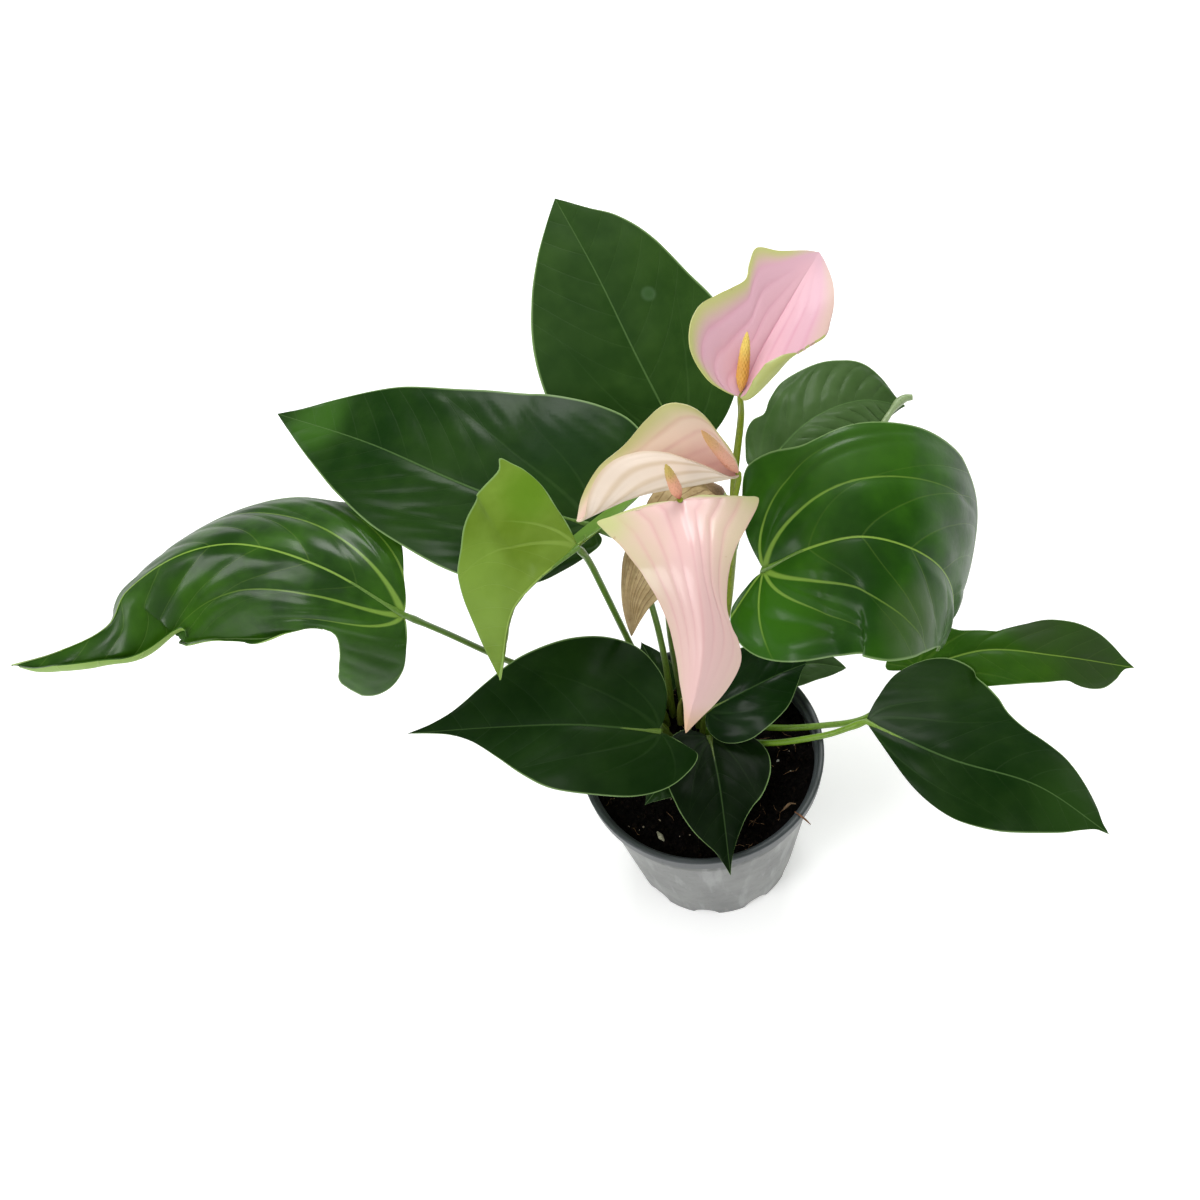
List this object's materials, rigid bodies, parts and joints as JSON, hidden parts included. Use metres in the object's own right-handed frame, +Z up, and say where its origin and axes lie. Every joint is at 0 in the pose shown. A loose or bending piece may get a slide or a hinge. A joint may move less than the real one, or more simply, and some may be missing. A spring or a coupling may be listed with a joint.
{
  "type": "potted anthurium",
  "caption": "Anthurium plant with heart-shaped leaves on long stems and hooded blooms with a central spike, standing in a round tapered nursery pot filled with soil.",
  "frame": {"origin": "centre of the pot's flat base, on which it stands", "axes": "+Z is up along the pot's axis. X runs along the longest spread of the leaves, and the longest leaf points to -X. The blooms hang towards -Y."},
  "size_m": [0.5202, 0.3063, 0.3611],
  "materials": {
    "pot_plastic": "satin grey plastic with a darker blue-grey rim",
    "potting_soil": null,
    "leaf_dark": null,
    "leaf_bright": null,
    "leaf_young": null,
    "flower_stem": null,
    "spathe_pink": null,
    "spadix_yellow": null,
    "dried_bloom": "dull papery tan with brown veins"
  },
  "bodies": {
    "root": {"pot": "pot_plastic", "soil": "potting_soil", "leaf_back_tall": "leaf_dark", "leaf_back_left": "leaf_dark", "leaf_far_left": "leaf_bright", "leaf_young": "leaf_young", "leaf_right_big": "leaf_bright", "leaf_back_right": "leaf_dark", "leaf_far_right": "leaf_bright", "leaf_right_front": "leaf_dark", "leaf_front_left": "leaf_dark", "leaf_front_small": "leaf_dark", "leaf_middle_right": "leaf_dark", "leaf_low_back": "leaf_dark", "leaf_low_right": "leaf_dark", "leaf_low_left": "leaf_dark", "sheath_middle": "leaf_young", "sheath_back": "leaf_young", "bloom_right_stem": "flower_stem", "bloom_right_spathe": "spathe_pink", "bloom_right_spadix": "spadix_yellow", "bloom_left_stem": "flower_stem", "bloom_left_spathe": "spathe_pink", "bloom_left_spadix": "spadix_yellow", "bloom_front_stem": "flower_stem", "bloom_front_spathe": "spathe_pink", "bloom_front_spadix": "spadix_yellow", "bloom_dried_stem": "flower_stem", "bloom_dried_spathe": "dried_bloom", "bloom_dried_spadix": "dried_bloom"}
  },
  "joints": []
}
